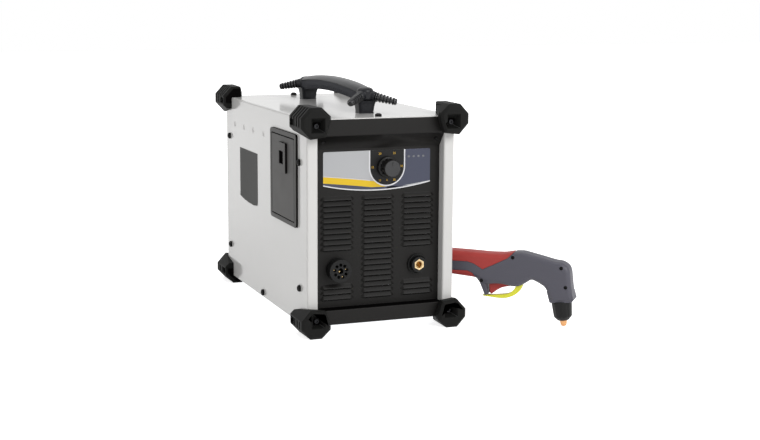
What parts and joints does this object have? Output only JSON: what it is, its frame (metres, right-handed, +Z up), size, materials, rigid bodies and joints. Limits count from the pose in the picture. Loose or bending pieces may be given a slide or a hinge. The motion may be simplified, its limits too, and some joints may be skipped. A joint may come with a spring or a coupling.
{
  "type": "plasma cutting unit with hand torch",
  "caption": "Portable plasma cutting unit: painted sheet steel case, black louvred front with a current knob and two sockets, corner bumpers, carrying handle, side door and a hand torch.",
  "frame": {"origin": "on the floor under the middle of the case", "axes": "+Z up, the front panel faces -Y, +X is the side that the torch stands at"},
  "size_m": [0.4307, 0.5559, 0.3705],
  "materials": {
    "cover_paint": "satin powder coat",
    "front_black": "fine grained",
    "rear_black": "satin powder coat",
    "bumper_rubber": "matte",
    "zinc_steel": "zinc plated",
    "black_steel": "black oxide",
    "handle_plastic": "satin",
    "overlay_film": "printed film",
    "lens_clear": "clear",
    "circuit_board": "satin lacquer",
    "aluminium_raw": "as cast and extruded",
    "black_plastic": "satin",
    "brass_plain": "turned",
    "door_plastic": "satin",
    "plate_grey": "printed, satin",
    "rocker_red": "gloss",
    "motor_steel": "satin paint",
    "hose_blue": "satin",
    "transformer_core": "varnished",
    "capacitor_sleeve": "gloss",
    "torch_grey": "satin",
    "torch_red": "soft touch",
    "guard_yellow": "semi gloss",
    "nozzle_copper": "machined copper"
  },
  "bodies": {
    "case": {"cover": "cover_paint", "base_tray": "zinc_steel", "front_panel": "front_black", "rear_panel": "rear_black", "bumper_front_top_left": "bumper_rubber", "bumper_front_top_right": "bumper_rubber", "bumper_front_bottom_left": "bumper_rubber", "bumper_front_bottom_right": "bumper_rubber", "bumper_rear_top_left": "bumper_rubber", "bumper_rear_top_right": "bumper_rubber", "bumper_rear_bottom_left": "bumper_rubber", "bumper_rear_bottom_right": "bumper_rubber", "bumper_screws": "black_steel", "cover_screws": "black_steel", "handle_grip": "handle_plastic", "handle_foot_front": "handle_plastic", "handle_foot_rear": "handle_plastic", "handle_screws": "zinc_steel", "control_overlay": "overlay_film", "indicator_lights": "lens_clear", "control_board": "circuit_board", "potentiometer": "zinc_steel", "torch_socket": "black_plastic", "torch_socket_insert": "black_plastic", "torch_socket_nut": "brass_plain", "earth_socket": "black_plastic", "earth_contact": "brass_plain", "earth_nut": "brass_plain", "door_frame": "door_plastic", "door_hinge_pin": "zinc_steel", "consumables_bin": "black_plastic", "side_plate": "plate_grey", "switch_housing": "black_plastic", "mains_gland": "black_plastic", "fan_frame": "black_plastic", "fan_grille": "zinc_steel", "compressor_cylinder": "aluminium_raw", "compressor_motor": "motor_steel", "compressor_mounts": "bumper_rubber", "air_hose": "hose_blue", "power_board": "circuit_board", "heatsink": "aluminium_raw", "transformer": "transformer_core", "capacitors": "capacitor_sleeve"},
    "knob": {"potentiometer_shaft": "aluminium_raw", "current_knob": "black_plastic"},
    "door": {"side_door": "door_plastic"},
    "latch": {"door_latch": "door_plastic"},
    "rocker": {"switch_rocker": "rocker_red"},
    "fan": {"fan_rotor": "black_plastic"},
    "torch": {"torch_shell_left": "torch_grey", "torch_shell_right": "torch_grey", "torch_grip_upper": "torch_red", "torch_grip_lower": "torch_red", "torch_head": "brass_plain", "torch_shield_cup": "black_plastic", "torch_nozzle": "nozzle_copper", "torch_screws": "black_steel"},
    "trigger": {"torch_trigger": "torch_red"},
    "guard": {"torch_guard": "guard_yellow"}
  },
  "joints": [
    {"name": "knob_turn", "type": "hinge", "parent": "case", "child": "knob", "pos_m": [0.015, -0.2, 0.2485], "axis": [0, 1, 0], "range_deg": [-135, 135]},
    {"name": "door_hinge", "type": "hinge", "parent": "case", "child": "door", "pos_m": [-0.1195, -0.1145, 0.16685], "axis": [0, -1, 0], "range_deg": [0, 95]},
    {"name": "latch_slide", "type": "slide", "parent": "door", "child": "latch", "axis": [0, 0, -1], "range_m": [0, 0.012]},
    {"name": "switch_rock", "type": "hinge", "parent": "case", "child": "rocker", "pos_m": [-0.062, 0.201, 0.2705], "axis": [-1, 0, 0], "range_deg": [0, 18]},
    {"name": "fan_spin", "type": "hinge", "parent": "case", "child": "fan", "pos_m": [0.042, 0.19, 0.1895], "axis": [0, 1, 0], "continuous": true},
    {"name": "torch_lift", "type": "slide", "parent": "case", "child": "torch", "axis": [0, 0, 1], "range_m": [0, 0.15]},
    {"name": "trigger_pull", "type": "hinge", "parent": "torch", "child": "trigger", "pos_m": [0.21215, -0.23801, 0.064], "axis": [0.6428, 0.766, 0], "range_deg": [0, 8], "stiffness_Nm_per_rad": 0.2, "springref_deg": -5.73},
    {"name": "guard_swing", "type": "hinge", "parent": "torch", "child": "guard", "pos_m": [0.22288, -0.24701, 0.064], "axis": [-0.6428, -0.766, 0], "range_deg": [0, 35], "stiffness_Nm_per_rad": 0.05, "springref_deg": -5.73}
  ]
}
